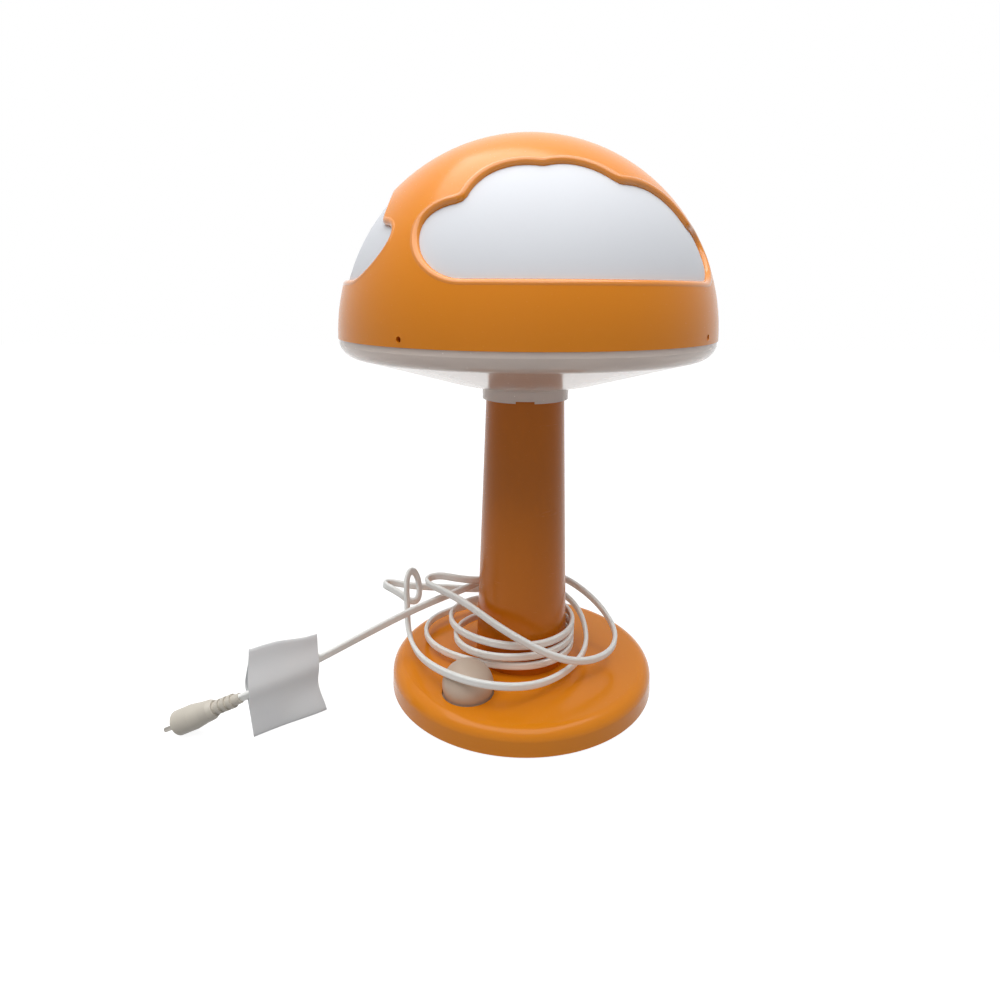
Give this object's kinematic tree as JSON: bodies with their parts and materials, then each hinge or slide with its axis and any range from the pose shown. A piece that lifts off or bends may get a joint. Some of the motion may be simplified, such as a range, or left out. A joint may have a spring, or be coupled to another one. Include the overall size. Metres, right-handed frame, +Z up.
{
  "type": "table lamp",
  "caption": "Mushroom-shaped table lamp: domed shade with cloud-shaped windows over an opal liner, clear tray, tapered stem, round weighted base with a ball push button, cord and plug.",
  "frame": {"origin": "on the surface that the lamp stands on, on the axis of its stem", "axes": "+Z up the stem, -Y to the front, where the push button is left of the middle, +X to the right seen from the front"},
  "size_m": [0.3547, 0.2695, 0.3706],
  "materials": {
    "orange_gloss": "glossy orange",
    "dark_plastic": "matt black",
    "foot_rubber": "matt black",
    "cast_weight": "raw casting",
    "screw_steel": "zinc plated",
    "brass_contact": "bare brass",
    "ball_grey": "translucent grey",
    "white_plastic": "satin white",
    "bracket_steel": "zinc plated",
    "holder_plastic": "satin white",
    "bulb_metal": "nickel plated",
    "opal_globe": "frosted white",
    "clear_plastic": "clear",
    "opal_diffuser": "satin opal",
    "cord_white": "satin off-white",
    "plug_white": "satin off-white",
    "wire_brown": "satin",
    "tag_paper": "bare white card"
  },
  "bodies": {
    "base": {"base_shell": "orange_gloss", "base_bottom_cover": "dark_plastic", "base_feet": "foot_rubber", "base_weight": "cast_weight", "base_cover_screws": "screw_steel", "stem_screws": "screw_steel", "switch_body": "dark_plastic", "switch_screws": "screw_steel", "stem": "orange_gloss", "holder_bracket": "bracket_steel", "bracket_screws": "screw_steel", "lampholder_body": "holder_plastic", "lampholder_thread": "brass_contact", "lampholder_contact": "brass_contact", "cord_gland": "cord_white", "terminal_block": "white_plastic", "terminal_screws": "brass_contact", "cord_clamp": "white_plastic", "clamp_screws": "screw_steel", "lamp_wires": "wire_brown", "switch_wires": "wire_brown", "cord_inlet": "cord_white", "cord_winding": "cord_white", "cord_exit": "cord_white", "cord_lead": "cord_white", "plug_body": "plug_white", "plug_relief": "plug_white", "plug_pins": "screw_steel", "cord_tag": "tag_paper"},
    "button": {"push_button": "ball_grey", "switch_plunger": "white_plastic"},
    "tray": {"shade_tray": "clear_plastic"},
    "dome": {"shade_dome": "orange_gloss", "shade_diffuser": "opal_diffuser"},
    "bulb": {"bulb_cap": "bulb_metal", "bulb_housing": "white_plastic", "bulb_globe": "opal_globe"}
  },
  "joints": [
    {"name": "button_press", "type": "slide", "parent": "base", "child": "button", "axis": [0, 0, -1], "range_m": [0, 0.003], "stiffness_N_per_m": 300, "springref_m": -0.002},
    {"name": "shade_lift", "type": "slide", "parent": "base", "child": "tray", "axis": [0, 0, 1], "range_m": [0, 0.11]},
    {"name": "dome_lift", "type": "slide", "parent": "tray", "child": "dome", "axis": [0, 0, 1], "range_m": [0, 0.07]},
    {"name": "bulb_lift", "type": "slide", "parent": "base", "child": "bulb", "axis": [0, 0, 1], "range_m": [0, 0.025]}
  ]
}
